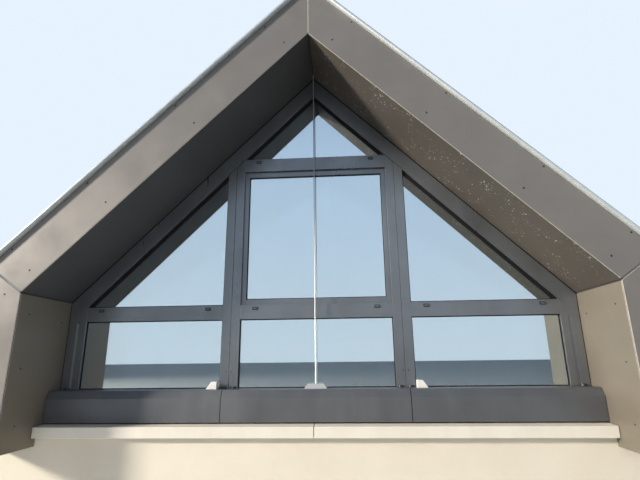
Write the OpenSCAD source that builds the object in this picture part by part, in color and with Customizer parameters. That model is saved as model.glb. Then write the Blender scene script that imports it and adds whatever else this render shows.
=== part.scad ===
// Gabled dormer with a glazed screen set back in a clad surround.
// X runs along the house wall, Y runs into the house, Z is up.
// Y = 0 is the outer face of the glazed screen, Z = 0 is the underside of the wall.

/* [Glazed screen] */
// Width of the screen over its two jambs
screen_w = 3200; // [2900:10:3500]
// Height from the sill line to the kink where each rake starts
kink_h = 536; // [500:1:640]
// Pitch of the rakes and of the roof, in degrees
pitch = 45; // [42:0.5:47]
// Depth of the screen's profiles
frame_d = 70; // [66:1:90]
// Width of a jamb with its cover profile
jamb_w = 112; // [100:1:130]
// Width of the cover profile on the outer edge of a jamb
jamb_cover_w = 50; // [40:1:60]
// How far the rake's cover runs down the jamb below the kink
kink_cover_h = 132; // [120:1:160]
// Width of a groove in a jamb's face
jamb_groove_w = 4; // [2:0.5:6]
// Depth of a groove in a jamb's face
jamb_groove_d = 4; // [2:0.5:8]
// Width of a rake
rake_w = 95; // [80:1:110]
// Distance from the middle of the screen to the middle of a mullion
mullion_x = 538; // [480:1:620]
// Width of a coupled mullion
mullion_w = 114; // [100:1:130]
// Width of the joint between a mullion's two profiles
coupling_w = 2; // [1:0.5:5]
// Depth of the joint between a mullion's two profiles
coupling_d = 8; // [4:1:12]
// Height of a lower transom
low_transom_h = 91; // [80:1:110]
// Height of the upright end of a side light's upper pane
light_end_h = 8; // [5:1:20]
// Height of the upright end of the top light
top_end_h = 3; // [1:0.5:8]
// Height of the top transom
top_transom_h = 92; // [80:1:110]
// Height of the bottom rail, which lies below the sill line
bottom_rail_h = 60; // [50:1:80]
// Thickness of the lip in front of the glass
lip_t = 18; // [12:1:20]
// Depth of the groove that takes the edge of the glass
groove_d = 16; // [14:1:20]
// Thickness of a sealed glass unit
glass_t = 24; // [20:1:28]
// How far the glass reaches into its groove
glass_bite = 12; // [8:1:13]

/* [Opening sash] */
// Width that shows on a stile of the sash
sash_stile_w = 30; // [28:1:50]
// Width that shows on a rail of the sash
sash_rail_w = 37; // [28:1:50]
// How far the sash reaches behind the lips round it
sash_lap = 8; // [5:1:11]
// Thickness of the sash's lip in front of its glass
sash_lip_t = 14; // [10:1:18]

/* [Drain caps] */
// Width of a drain cap
cap_w = 34; // [26:1:60]
// Height of a drain cap
cap_h = 18; // [12:1:28]
// How far a drain cap stands off the transom
cap_d = 6; // [3:1:10]
// Distance from a transom's end to the middle of its cap
cap_inset = 95; // [70:1:160]
// Distance from a transom's top edge to the middle of its cap
cap_drop = 23; // [20:1:40]

/* [Surround] */
// Distance from the screen's face to the front of the surround
surround_d = 465; // [380:5:600]
// Width of the raking front band with its metal edge
band_w = 283; // [270:1:320]
// Thickness of a cladding panel
panel_t = 6; // [4:0.5:10]
// Rise of the joint at the kink, in degrees, out to the corner of the band
kink_rise = 35; // [30:1:45]
// Width of the open joints between panels
panel_joint = 8; // [4:0.5:10]
// Width of the sealed joint beside a jamb
side_joint = 5; // [3:1:12]
// Width of the sealed joint above a rake
rake_joint = 9; // [6:1:18]
// Depth of the sealant round the screen
seal_d = 14; // [8:1:20]
// Distance from the sill line down to the underside of the cladding
clad_drop = 296; // [270:1:330]
// Height of the round-nosed bead on the metal edge
bead_d = 26; // [16:1:32]
// How far the bead's flat sides run forward before its round nose
bead_side = 12; // [4:1:20]
// Height of the small step where the bead's round nose starts
bead_step = 0.5; // [0.3:0.1:1.5]
// Thickness of the metal edge's sheet
edge_t = 3; // [2:0.5:5]
// How far the metal edge laps back over the kerb
edge_back = 56; // [44:1:80]

/* [Sills] */
// Depth of the flat top of the metal sill
sill_top_d = 102; // [95:1:108]
// Depth of the metal sill to its upright front
sill_front_d = 127; // [120:1:140]
// Fall of the metal sill's top
sill_fall = 3; // [1:1:6]
// Drop from the sill line to the fold at the top of its front
sill_fold = 47; // [35:1:60]
// Drop from the sill line to the metal sill's lower edge
sill_drop = 178; // [165:1:180]
// Thickness of the sill's sheet
sheet_t = 3; // [2:0.5:4]
// Width of the hem at the sill's lower edge
sill_hem = 12; // [8:1:18]
// Distance from the middle to the joints of the metal sill
sill_joint_x = 547; // [480:1:620]
// Width of the joints between lengths of sill
sill_joint = 4; // [2:1:8]
// Gap at the ends of both sills
sill_end_gap = 3; // [1:1:8]
// Distance from the screen's face to the nose of the cast sill
cast_front_d = 206; // [196:1:240]
// Distance from the screen's face to the back of the cast sill
cast_back_d = 60; // [50:1:80]
// Drop from the sill line to the cast sill's top at its nose
cast_drop = 190; // [187:1:205]
// Thickness of the cast sill at its nose
cast_t = 59; // [45:1:75]
// Fall of the cast sill's top from back to front
cast_fall = 7; // [3:1:8]
// Width of the drip groove under the nose
drip_w = 8; // [4:1:12]
// Distance from the nose to the drip groove
drip_inset = 16; // [12:1:20]

/* [Wall and cheeks] */
// Height of the sill line above the underside of the wall
sill_z = 760; // [600:10:1000]
// Thickness of the front wall
wall_t = 300; // [250:5:400]
// Distance from the screen's face to the rendered face of the wall
wall_face_d = 164; // [150:1:185]
// Thickness of the plasterboard inside
board_t = 13; // [10:0.5:18]
// Depth of the board on the inside sill
inner_sill_d = 96; // [60:1:160]
// Thickness of the board on the inside sill
inner_sill_t = 25; // [18:1:32]

/* [Roof] */
// Thickness of the rafters with their insulation and deck
roof_t = 210; // [160:5:220]
// Thickness of the slating on its battens at the tail of a course
slating_t = 45; // [35:1:48]
// Height that each course steps down at its tail
slate_step = 14; // [8:1:20]
// Exposed length of a course
slate_gauge = 200; // [160:5:280]
// How far the slating overhangs the cheek
eave_lap = 25; // [15:1:50]
// Width of the kerb behind the metal edge
kerb_w = 44; // [30:1:60]
// Half width of the ridge cap, measured level
ridge_w = 175; // [170:1:240]
// Thickness of the ridge cap's sheet
ridge_t = 4; // [2:0.5:6]
// Pitch of the main roof that the dormer is cut to, in degrees
main_pitch = 50; // [45:0.5:55]
// Distance from the screen's face to where that roof meets the cladding's underside
main_start_d = 400; // [340:5:440]
// Thickness of the main roof, measured square to it
main_t = 300; // [220:5:360]

/* [Centre wire] */
// Diameter of the wire in front of the screen
wire_d = 6; // [5:0.5:10]
// Distance from the screen's face to the wire
wire_y = 40; // [35:1:60]
// Length of the wire's foot at its base
foot_w = 136; // [100:1:180]
// Height of the wire's foot
foot_h = 26; // [15:1:40]
// Width of the foot from front to back
foot_d = 36; // [20:1:50]
// How much shorter the foot is at each end of its top
foot_taper = 19; // [10:1:30]
// Length of the white block beside a mullion
block_w = 66; // [40:1:90]
// Height of the white block beside a mullion
block_h = 42; // [20:1:60]

/* [Hidden] */

anthracite = [0.30, 0.32, 0.34];
taupe = [0.50, 0.48, 0.46];
cream = [0.92, 0.88, 0.80];
timber = [0.72, 0.58, 0.40];
slate_grey = [0.36, 0.38, 0.40];
zinc = [0.64, 0.68, 0.71];
glass_blue = [0.62, 0.74, 0.84, 0.5];
plaster = [0.95, 0.95, 0.93];

screen_x = screen_w / 2;
apex_h = kink_h + screen_x * tan(pitch);
mullion_in = mullion_x - mullion_w / 2;
mullion_out = mullion_x + mullion_w / 2;
jamb_in = screen_x - jamb_w;
cover_in = screen_x - jamb_cover_w;
cover_z = kink_h - kink_cover_h;

// Height of the line parallel to the rake's outer edge, moved inwards by inset, at x
function rake_z(inset, x) = apex_h - inset / cos(pitch) - x * tan(pitch);

low_top = rake_z(rake_w, jamb_in) - light_end_h;
low_bottom = low_top - low_transom_h;
// The top transom ends where the rakes meet the mullions' inner edges
top_top = rake_z(rake_w, mullion_in) - top_end_h;
top_bottom = top_top - top_transom_h;
glass_back = lip_t + glass_t;

// The faces of the surround's lining, and the corner where cheek and soffit meet
lining_x = screen_x + side_joint;
soffit_face = -rake_joint;
soffit_back = soffit_face - panel_t;
corner_z = rake_z(soffit_face, lining_x);
front_y = -surround_d;
panel_back_y = front_y + panel_t;
stud_in = lining_x + panel_t;
// The joint at the kink runs to the outer corner, which sets the width of the cheek
cheek_x = lining_x + band_w / cos(pitch) / (tan(kink_rise) + tan(pitch));
stud_out = cheek_x - panel_t;

deck_face = soffit_back - roof_t;
slate_face = deck_face - slating_t;
edge_face = soffit_face - band_w;

// Height of the kink's joint at x, and its point at a distance square to the soffit
function cut_z(x) = corner_z + (x - lining_x) * tan(kink_rise);
function cut_point(square) = let (along = square / sin(pitch + kink_rise))
    [lining_x + along * cos(kink_rise), corner_z + along * sin(kink_rise)];

// The main roof's upper face and its ceiling, as the Y where they pass height z
function main_y(z) = -main_start_d + (z + clad_drop) / tan(main_pitch);
ceiling_shift = main_t / sin(main_pitch);
ridge_z = rake_z(edge_face, 0);
eave_z = rake_z(deck_face, cheek_x);
cheek_back_y = main_y(eave_z) + ceiling_shift;
wall_back_y = wall_t - wall_face_d;
far = ridge_z + sill_z;

module lift() translate([0, 0, sill_z]) children();

// Elevation outline given thickness from y0 to y1
module plate(y0, y1, outline)
    translate([0, y1, 0]) rotate([90, 0, 0]) linear_extrude(y1 - y0) polygon(outline);

// Section outline in Y and Z given length from x0 to x1
module run(x0, x1, outline)
    translate([x0, 0, 0]) rotate([90, 0, 90]) linear_extrude(x1 - x0) polygon(outline);

// The right-hand piece, or its mirror image on the left
module on_side(side) mirror([side < 0 ? 1 : 0, 0, 0]) children();

function box2(x0, x1, z0, z1) = [[x0, z0], [x1, z0], [x1, z1], [x0, z1]];

// Upright piece from z0 to the raking line at an inset
function to_rake(x0, x1, z0, inset) =
    [[x0, z0], [x1, z0], [x1, rake_z(inset, x1)], [x0, rake_z(inset, x0)]];

// Raking band from the ridge joint at x0 down to the kink's joint
function rake_band(x0, near, far_side) =
    [[x0, rake_z(near, x0)], cut_point(soffit_face - near), cut_point(soffit_face - far_side),
     [x0, rake_z(far_side, x0)]];

// Everything in front of the main roof, or of its ceiling when shifted
module before_main_roof(shift) {
    run(-far, far, [[front_y - far, -clad_drop], [main_y(-clad_drop) + shift, -clad_drop],
        [main_y(ridge_z) + shift, ridge_z], [front_y - far, ridge_z]]);
}

function unit(v) = v / norm(v);
function turned(v) = [v[1], -v[0]];
// Edge of a folded sheet: the path, then its other face at thickness t
function sheet_side(path, t) = [for (i = [0 : len(path) - 1])
    let (before = turned(unit(path[max(i, 1)] - path[max(i, 1) - 1])),
         next = min(i, len(path) - 2),
         after = turned(unit(path[next + 1] - path[next])))
    path[i] + t * (before + after) / (1 + before * after)];
function folded(path, t) = let (other = sheet_side(path, t))
    concat(path, [for (i = [len(path) - 1 : -1 : 0]) other[i]]);

// Walls, cheeks and roof

module front_wall() color(cream) lift() {
    run(-cheek_x, cheek_x, box2(-wall_face_d, wall_back_y, -sill_z, -clad_drop));
    run(-lining_x, lining_x,
        box2(-wall_face_d, wall_back_y, -clad_drop, -cast_drop - cast_t));
}

module cheek_wall(side) color(timber) lift() on_side(side) {
    intersection() {
        run(stud_in, stud_out, [[panel_back_y, panel_t - clad_drop],
            [-wall_face_d, panel_t - clad_drop], [-wall_face_d, -clad_drop],
            [wall_back_y, -clad_drop], [wall_back_y, -sill_z], [cheek_back_y, -sill_z],
            [cheek_back_y, far], [panel_back_y, far]]);
        plate(front_y, cheek_back_y, [[stud_in, -sill_z], [stud_out, -sill_z],
            [stud_out, rake_z(deck_face, stud_out)], cut_point(soffit_face - deck_face),
            [stud_in, cut_z(stud_in)]]);
    }
    // The end of the kerb, below the joint at the kink
    plate(panel_back_y, panel_back_y + kerb_w, [cut_point(soffit_face - deck_face),
        [stud_out, rake_z(deck_face, stud_out)], [stud_out, cut_z(stud_out)]]);
}

module roof(side) color(timber) lift() on_side(side) {
    intersection() {
        plate(panel_back_y, far, rake_band(0, soffit_back, deck_face));
        before_main_roof(ceiling_shift);
    }
    plate(panel_back_y, panel_back_y + kerb_w,
        rake_band(0, deck_face, edge_face + edge_t));
}

slope_l = (cheek_x + eave_lap) / cos(pitch);
course_count = round(slope_l / slate_gauge);
course_l = slope_l / course_count;
// Point on the slope, by its distance down from the ridge and its height over the deck
function slope_point(down, over) =
    [down * cos(pitch) + over * sin(pitch), rake_z(deck_face, 0) - down * sin(pitch) + over * cos(pitch)];

module slating(side) color(slate_grey) lift() on_side(side) intersection() {
    plate(panel_back_y + kerb_w, far, concat([[0, rake_z(deck_face, 0)]],
        [[0, rake_z(slate_face + slate_step, 0)]],
        [for (i = [1 : course_count], over = [slating_t, slating_t - slate_step])
            slope_point(i * course_l - over * tan(pitch), over)],
        [slope_point(slope_l, 0)]));
    before_main_roof(0);
}

module ridge_cap() color(zinc) lift() intersection() {
    plate(panel_back_y + kerb_w, far, [
        [0, rake_z(slate_face, 0)], [ridge_w, rake_z(slate_face, ridge_w)],
        [ridge_w, rake_z(slate_face - ridge_t, ridge_w)], [0, rake_z(slate_face - ridge_t, 0)],
        [-ridge_w, rake_z(slate_face - ridge_t, ridge_w)], [-ridge_w, rake_z(slate_face, ridge_w)]]);
    before_main_roof(0);
}

// Section of the bead's nose: it starts inside the flat part and is a little less high
nose_r = bead_d / 2 - bead_step;
nose = concat([[-bead_side / 2, -bead_step]], [for (turn = [0 : 20 : 180])
    [-bead_side - bead_step, -bead_d / 2] + nose_r * [-sin(turn), cos(turn)]],
    [[-bead_side / 2, bead_step - bead_d]]);

module metal_edge(side) color(zinc) lift() on_side(side) {
    // The outline has a corner where the sheet ends, so that both share their corners
    flat_part = [[0, rake_z(edge_face + bead_d, 0)], cut_point(band_w - bead_d),
        cut_point(band_w - edge_t), cut_point(band_w), [0, rake_z(edge_face, 0)]];
    plate(front_y - bead_side, front_y, flat_part);
    intersection() {
        multmatrix([[0, sin(pitch), cos(pitch), 0], [1, 0, 0, front_y],
            [0, cos(pitch), -sin(pitch), rake_z(edge_face, 0)], [0, 0, 0, 1]])
            translate([0, 0, -bead_d])
                linear_extrude(cheek_x / cos(pitch) + 2 * bead_d) polygon(nose);
        plate(front_y - bead_side - bead_d, front_y, flat_part);
    }
    plate(front_y, front_y + edge_back, rake_band(0, edge_face + edge_t, edge_face));
}

// Panels of the surround

// The joints at the ridge and the kink are split evenly between the panels that meet there
half_joint = panel_joint / 2;
kink_slide = half_joint / sin(pitch + kink_rise);
function slid(point) = point + kink_slide * [-cos(pitch), sin(pitch)];

module fascia(side) color(taupe) lift() on_side(side)
    plate(front_y, panel_back_y, [
        [half_joint, rake_z(soffit_face, half_joint)],
        slid(cut_point(0)),
        slid(cut_point(band_w - edge_t)),
        [half_joint, rake_z(edge_face + edge_t, half_joint)]]);

module cheek_front(side) color(taupe) lift() on_side(side)
    plate(front_y, panel_back_y, [[lining_x, -clad_drop], [cheek_x, -clad_drop],
        [cheek_x, cut_z(cheek_x) - half_joint / cos(kink_rise)],
        [lining_x, cut_z(lining_x) - half_joint / cos(kink_rise)]]);

module soffit(side) color(taupe) lift() on_side(side)
    plate(panel_back_y, frame_d, [[half_joint, rake_z(soffit_face, half_joint)],
        [lining_x, corner_z], [stud_in, rake_z(soffit_back, stud_in)],
        [half_joint, rake_z(soffit_back, half_joint)]]);

module cheek_lining(side) color(taupe) lift() on_side(side)
    plate(panel_back_y, frame_d,
        box2(lining_x, stud_in, -clad_drop, corner_z - panel_joint));

module cheek_cladding(side) color(taupe) lift() on_side(side) {
    intersection() {
        plate(panel_back_y, far, box2(stud_out, cheek_x, -clad_drop, eave_z));
        before_main_roof(0);
    }
    plate(panel_back_y, panel_back_y + kerb_w, box2(stud_out, cheek_x, eave_z,
        cut_z(stud_out) - half_joint / cos(kink_rise)));
}

module base_panels() color(taupe) lift() for (side = [-1, 1]) on_side(side)
    run(stud_in, stud_out, box2(panel_back_y, -wall_face_d, -clad_drop, panel_t - clad_drop));

// Sills

sill_end_x = lining_x - sill_end_gap;
cast_bottom = -cast_drop - cast_t;
cast_top_back = -cast_drop + cast_fall;

module cast_sill(side) color(cream) lift() on_side(side)
    run(sill_joint / 2, sill_end_x, [
        [-cast_front_d, cast_bottom], [-cast_front_d + drip_inset, cast_bottom],
        [-cast_front_d + drip_inset, cast_bottom + drip_w],
        [-cast_front_d + drip_inset + drip_w, cast_bottom + drip_w],
        [-cast_front_d + drip_inset + drip_w, cast_bottom],
        [-cast_back_d, cast_bottom], [-cast_back_d, cast_top_back],
        [-cast_front_d, -cast_drop]]);

sill_support_z = -sill_drop;
module sill_curb() color(timber) lift()
    run(-lining_x, lining_x, [[-cast_back_d, cast_bottom], [wall_back_y, cast_bottom],
        [wall_back_y, -inner_sill_t], [frame_d, -inner_sill_t], [frame_d, -bottom_rail_h],
        [0, -bottom_rail_h], [0, -sheet_t], [-sill_top_d + 2 * sheet_t, -sheet_t - sill_fall],
        [-sill_top_d + 2 * sheet_t, sill_support_z], [-cast_back_d, sill_support_z]]);

sill_path = [[-sheet_t * sill_fall / sill_top_d, 0], [-sill_top_d, -sill_fall], [-sill_front_d, -sill_fold],
    [-sill_front_d, -sill_drop], [-sill_front_d + sill_hem, -sill_drop]];
module sill_length(x0, x1) color(anthracite) lift() run(x0, x1, folded(sill_path, -sheet_t));
module metal_sill_side(side) on_side(side) sill_length(sill_joint_x + sill_joint / 2, sill_end_x);
module metal_sill_centre()
    sill_length(sill_joint / 2 - sill_joint_x, sill_joint_x - sill_joint / 2);

// Screen

module bottom_rail() color(anthracite) lift() {
    run(-screen_x, screen_x, box2(0, lip_t, -bottom_rail_h, 0));
    run(-screen_x, screen_x, box2(lip_t, frame_d, -bottom_rail_h, -groove_d));
    run(-screen_x, screen_x, box2(glass_back, frame_d, -groove_d, 0));
}

function jamb_outline(x0, z0, inset) = [[x0, z0], [screen_x, z0], [screen_x, cover_z],
    [cover_in, cover_z], [cover_in, rake_z(inset, cover_in)], [x0, rake_z(inset, x0)]];

module jamb(side) color(anthracite) lift() on_side(side) difference() {
    union() {
        plate(0, lip_t, jamb_outline(jamb_in, 0, rake_w));
        plate(lip_t, glass_back,
            jamb_outline(jamb_in + groove_d, -groove_d, rake_w - groove_d));
        plate(glass_back, frame_d, jamb_outline(jamb_in, 0, rake_w));
    }
    for (x = [cover_in - jamb_groove_w, cover_in - 3 * jamb_groove_w])
        plate(-1, jamb_groove_d, box2(x - jamb_groove_w, x, -1, cover_z));
}

function rake_outline(inset) = [[0, apex_h], [screen_x, kink_h], [screen_x, cover_z],
    [cover_in, cover_z], [cover_in, rake_z(inset, cover_in)], [0, rake_z(inset, 0)]];

module rake(side) color(anthracite) lift() on_side(side) {
    plate(0, lip_t, rake_outline(rake_w));
    plate(lip_t, glass_back, rake_outline(rake_w - groove_d));
    plate(glass_back, frame_d, rake_outline(rake_w));
}

module mullion(side) color(anthracite) lift() on_side(side) difference() {
    union() {
        plate(0, lip_t, to_rake(mullion_in, mullion_out, 0, rake_w));
        plate(lip_t, glass_back, to_rake(mullion_in + groove_d, mullion_out - groove_d,
            -groove_d, rake_w - groove_d));
        plate(glass_back, frame_d, to_rake(mullion_in + groove_d, mullion_out, 0, rake_w));
        plate(glass_back, frame_d, box2(mullion_in, mullion_in + groove_d, 0, low_bottom));
    }
    plate(-1, coupling_d, box2(mullion_x - coupling_w / 2, mullion_x + coupling_w / 2, -1, far));
}

// Transom between two posts: fixed glass below or above it takes a bead behind the glass
module transom(x0, x1, z0, z1, bead_below, bead_above) color(anthracite) lift() {
    plate(0, lip_t, box2(x0, x1, z0, z1));
    plate(lip_t, glass_back, box2(x0 - groove_d, x1 + groove_d, z0 + groove_d, z1 - groove_d));
    plate(glass_back, frame_d, box2(x0, x1, bead_below ? z0 : z0 + groove_d,
        bead_above ? z1 : z1 - groove_d));
    if (!bead_above || !bead_below)
        plate(glass_back, frame_d, box2(x0 - groove_d, x1 + groove_d, z0 + groove_d,
            z1 - groove_d));
}

module low_transom_side(side) on_side(side)
    transom(mullion_out, jamb_in, low_bottom, low_top, true, true);
module low_transom_centre()
    transom(-mullion_in, mullion_in, low_bottom, low_top, true, false);
module top_transom()
    transom(-mullion_in, mullion_in, top_bottom, top_top, false, true);

// Ring between an outer and an inner rectangle
module ring(y0, y1, x_out, z_low, z_high, stile, rail)
    difference() {
        plate(y0, y1, box2(-x_out, x_out, z_low, z_high));
        plate(y0 - 1, y1 + 1, box2(stile - x_out, x_out - stile, z_low + rail, z_high - rail));
    }

sash_back = lip_t + sash_lip_t + glass_t;
module sash() color(anthracite) lift() {
    sash_x = mullion_in + sash_lap;
    low = low_top - sash_lap;
    high = top_bottom + sash_lap;
    stile = sash_stile_w + sash_lap;
    rail = sash_rail_w + sash_lap;
    ring(lip_t, lip_t + sash_lip_t, sash_x, low, high, stile, rail);
    ring(lip_t + sash_lip_t, sash_back, sash_x, low, high, stile - groove_d, rail - groove_d);
    ring(sash_back, frame_d, sash_x, low, high, stile, rail);
}

// Glass

module low_glass(x0, x1) color(glass_blue) lift()
    plate(lip_t, glass_back, box2(x0 - glass_bite, x1 + glass_bite, -glass_bite,
        low_bottom + glass_bite));

module high_glass(side) color(glass_blue) lift() on_side(side)
    plate(lip_t, glass_back, to_rake(mullion_out - glass_bite, jamb_in + glass_bite,
        low_top - glass_bite, rake_w - glass_bite));

module sash_glass() color(glass_blue) lift() {
    x = mullion_in - sash_stile_w + glass_bite;
    plate(lip_t + sash_lip_t, sash_back, box2(-x, x, low_top + sash_rail_w - glass_bite,
        top_bottom - sash_rail_w + glass_bite));
}

module top_glass() color(glass_blue) lift() {
    x = mullion_in + glass_bite;
    z = top_top - glass_bite;
    inset = rake_w - glass_bite;
    plate(lip_t, glass_back, [[-x, z], [x, z], [x, rake_z(inset, x)], [0, rake_z(inset, 0)],
        [-x, rake_z(inset, x)]]);
}

module perimeter_seal() color([0.08, 0.08, 0.08]) lift() {
    half = [[0, rake_z(soffit_face, 0)], [lining_x, corner_z], [lining_x, 0], [screen_x, 0],
        [screen_x, kink_h], [0, apex_h]];
    for (side = [-1, 1]) on_side(side)
        plate(lip_t - seal_d, lip_t, half);
}

module drain_caps() color([0.2, 0.2, 0.22]) lift() {
    half_cap = cap_w / 2;
    for (side = [-1, 1]) on_side(side) {
        for (x = [mullion_in - cap_inset, mullion_out + cap_inset, jamb_in - cap_inset])
            plate(-cap_d, 0, box2(x - half_cap, x + half_cap, low_top - cap_drop - cap_h / 2,
                low_top - cap_drop + cap_h / 2));
        plate(-cap_d, 0, box2(mullion_in - cap_inset - half_cap, mullion_in - cap_inset + half_cap,
            top_top - cap_drop - cap_h / 2, top_top - cap_drop + cap_h / 2));
    }
}

// Inside

module wall_board(side) color(plaster) lift() on_side(side) intersection() {
    run(stud_in - board_t, stud_in, [[wall_back_y, -sill_z], [cheek_back_y, -sill_z],
        [cheek_back_y, far], [frame_d, far], [frame_d, 0], [wall_back_y, 0]]);
    plate(frame_d, cheek_back_y, [[stud_in - board_t, -sill_z], [stud_in, -sill_z],
        [stud_in, rake_z(soffit_back, stud_in)],
        [stud_in - board_t, rake_z(soffit_back + board_t, stud_in - board_t)]]);
}

module ceiling_board(side) color(plaster) lift() on_side(side) intersection() {
    plate(frame_d, far, [[0, rake_z(soffit_back + board_t, 0)],
        [stud_in - board_t, rake_z(soffit_back + board_t, stud_in - board_t)],
        [stud_in, rake_z(soffit_back, stud_in)], [0, rake_z(soffit_back, 0)]]);
    before_main_roof(ceiling_shift);
}

module inner_sill() color(plaster) lift()
    run(board_t - stud_in, stud_in - board_t,
        box2(frame_d, frame_d + inner_sill_d, -inner_sill_t, 0));

// Wire and blocks that stand on the metal sill

// Everything over the metal sill's sloping top
module over_sill() run(-screen_x, screen_x, [[0, 0], [-sill_top_d, -sill_fall],
    [-sill_top_d, far], [0, far]]);

module centre_wire() color("white") lift() {
    wire_top = rake_z(soffit_face, max(wire_d / 2, half_joint)) - 0.3;
    intersection() {
        plate(-wire_y - foot_d / 2, -wire_y + foot_d / 2, [[-foot_w / 2, -sill_fall],
            [foot_w / 2, -sill_fall], [foot_w / 2 - foot_taper, foot_h],
            [foot_taper - foot_w / 2, foot_h]]);
        over_sill();
    }
    translate([0, -wire_y, 0]) cylinder(d = wire_d, h = wire_top, $fn = 24);
}

module mullion_blocks() color("white") lift() for (side = [-1, 1]) on_side(side)
    intersection() {
        plate(-wire_y - foot_d / 2, -wire_y + foot_d / 2, [[mullion_out, -sill_fall],
            [mullion_out + block_w, -sill_fall], [mullion_out + block_w / 2, block_h],
            [mullion_out, block_h]]);
        over_sill();
    }

front_wall();
cheek_wall(-1);  // cheek_wall_left
cheek_wall(1);  // cheek_wall_right
roof(-1);  // roof_left
roof(1);  // roof_right
slating(-1);  // slating_left
slating(1);  // slating_right
ridge_cap();
metal_edge(-1);  // metal_edge_left
metal_edge(1);  // metal_edge_right
fascia(-1);  // fascia_left
fascia(1);  // fascia_right
cheek_front(-1);  // cheek_front_left
cheek_front(1);  // cheek_front_right
soffit(-1);  // soffit_left
soffit(1);  // soffit_right
cheek_lining(-1);  // cheek_lining_left
cheek_lining(1);  // cheek_lining_right
cheek_cladding(-1);  // cheek_cladding_left
cheek_cladding(1);  // cheek_cladding_right
base_panels();
cast_sill(-1);  // cast_sill_left
cast_sill(1);  // cast_sill_right
sill_curb();
metal_sill_side(-1);  // metal_sill_left
metal_sill_centre();
metal_sill_side(1);  // metal_sill_right
bottom_rail();
jamb(-1);  // jamb_left
jamb(1);  // jamb_right
rake(-1);  // rake_left
rake(1);  // rake_right
mullion(-1);  // mullion_left
mullion(1);  // mullion_right
low_transom_side(-1);  // low_transom_left
low_transom_centre();
low_transom_side(1);  // low_transom_right
top_transom();
sash();
low_glass(-jamb_in, -mullion_out);  // low_glass_left
low_glass(-mullion_in, mullion_in);  // low_glass_centre
low_glass(mullion_out, jamb_in);  // low_glass_right
high_glass(-1);  // high_glass_left
high_glass(1);  // high_glass_right
sash_glass();
top_glass();
perimeter_seal();
wall_board(-1);  // wall_board_left
wall_board(1);  // wall_board_right
ceiling_board(-1);  // ceiling_board_left
ceiling_board(1);  // ceiling_board_right
inner_sill();
centre_wire();
mullion_blocks();
drain_caps();
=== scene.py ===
# %% [markdown]
# # A gabled dormer with a raking glazed screen
# The solid parts come from a finished model of the dormer. This notebook loads
# that model, keeps its sizes, and gives each part the finish and the small
# fittings of the real thing: sealed glass units, gaskets, screws and slates.

# %% Load the model
import math

import bmesh
import bpy
from mathutils import Matrix, Vector


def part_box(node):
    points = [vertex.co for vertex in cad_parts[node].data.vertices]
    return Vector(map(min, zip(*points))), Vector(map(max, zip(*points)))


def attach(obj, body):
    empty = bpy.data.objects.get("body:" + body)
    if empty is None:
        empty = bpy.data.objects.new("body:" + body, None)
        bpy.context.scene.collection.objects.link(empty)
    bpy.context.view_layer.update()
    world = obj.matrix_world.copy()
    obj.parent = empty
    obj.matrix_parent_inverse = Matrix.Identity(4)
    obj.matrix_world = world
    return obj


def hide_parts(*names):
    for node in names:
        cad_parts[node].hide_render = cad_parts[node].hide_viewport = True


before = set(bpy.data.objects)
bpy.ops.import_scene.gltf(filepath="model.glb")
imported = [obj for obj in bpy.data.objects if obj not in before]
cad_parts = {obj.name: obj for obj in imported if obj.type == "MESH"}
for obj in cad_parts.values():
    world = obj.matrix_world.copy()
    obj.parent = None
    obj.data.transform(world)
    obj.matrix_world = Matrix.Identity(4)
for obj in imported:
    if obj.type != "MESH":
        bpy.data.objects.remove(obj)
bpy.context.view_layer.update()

print("nodes loaded:", len(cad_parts))

# %% [markdown]
# Everything that is added has to sit on the solids. Its place could be typed in
# again, but that would be wrong as soon as a solid changes. It is worked out from
# the boxes of the nodes instead. Only what no box gives is named here, once: the
# pitch of the roof, the rise of the joint at the kink, and the width of a joint.

# %% Measure the lines that the fittings follow
sill_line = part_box("bottom_rail")[1].z
front_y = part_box("fascia_right")[0].y
panel_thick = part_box("fascia_right")[1].y - front_y
lining_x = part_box("cheek_lining_right")[0].x
cheek_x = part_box("cheek_front_right")[1].x
joint = 0.008
corner_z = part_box("cheek_lining_right")[1].z + joint
inner_ridge = corner_z + lining_x
pitch = math.radians(45)
kink_rise = math.radians(35)
down_right = Vector((math.cos(pitch), 0, -math.sin(pitch)))
out_right = Vector((math.sin(pitch), 0, math.cos(pitch)))
print("sill line", round(sill_line, 3), "front", round(front_y, 3), "corner", round(corner_z, 3))

# %% [markdown]
# The camera stands low in front of the dormer and looks up, a little to the
# left. Because it is tilted, the upright jambs lean together at the top, as they
# do in any picture that is taken from the ground. It could be placed by eye, but
# then no line would meet its like in the picture. The lens, place and turn here
# were fitted to the dormer's own lines first. Angles are in radians.

# %% Set up the camera
camera_place = (0.203, -2.772, sill_line + 0.159)
turn_left, tilt_up, roll = 0.0613, 0.2681, -0.0116

camera_data = bpy.data.cameras.new("camera")
camera_data.sensor_fit = "HORIZONTAL"
camera_data.sensor_width = 36
camera_data.lens = 24.64
camera_data.clip_end = 200
camera = bpy.data.objects.new("camera", camera_data)
bpy.context.scene.collection.objects.link(camera)
bpy.context.scene.camera = camera

look = Matrix.Rotation(turn_left, 4, "Z") @ Matrix.Rotation(math.radians(90) + tilt_up, 4, "X")
camera.matrix_world = Matrix.Translation(camera_place) @ look @ Matrix.Rotation(roll, 4, "Z")
print("camera at", [round(v, 3) for v in camera.matrix_world.translation])

# %% [markdown]
# Light and finishes are both made of shader nodes. A node could be placed and
# wired with four or five lines each time. These helpers do it in one, so that a
# recipe below reads as a list of what the surface has. A value may be a number, a
# colour or the output of another node.

# %% Helpers for nodes
def link(tree, start, end):
    tree.links.new(start, end)


def add(tree, kind, inputs=None, **settings):
    """A shader node with its settings, and values on its named sockets."""
    made = tree.nodes.new(kind)
    for key, value in settings.items():
        setattr(made, key, value)
    for key, value in (inputs or {}).items():
        made.inputs[key].default_value = value
    return made


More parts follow.
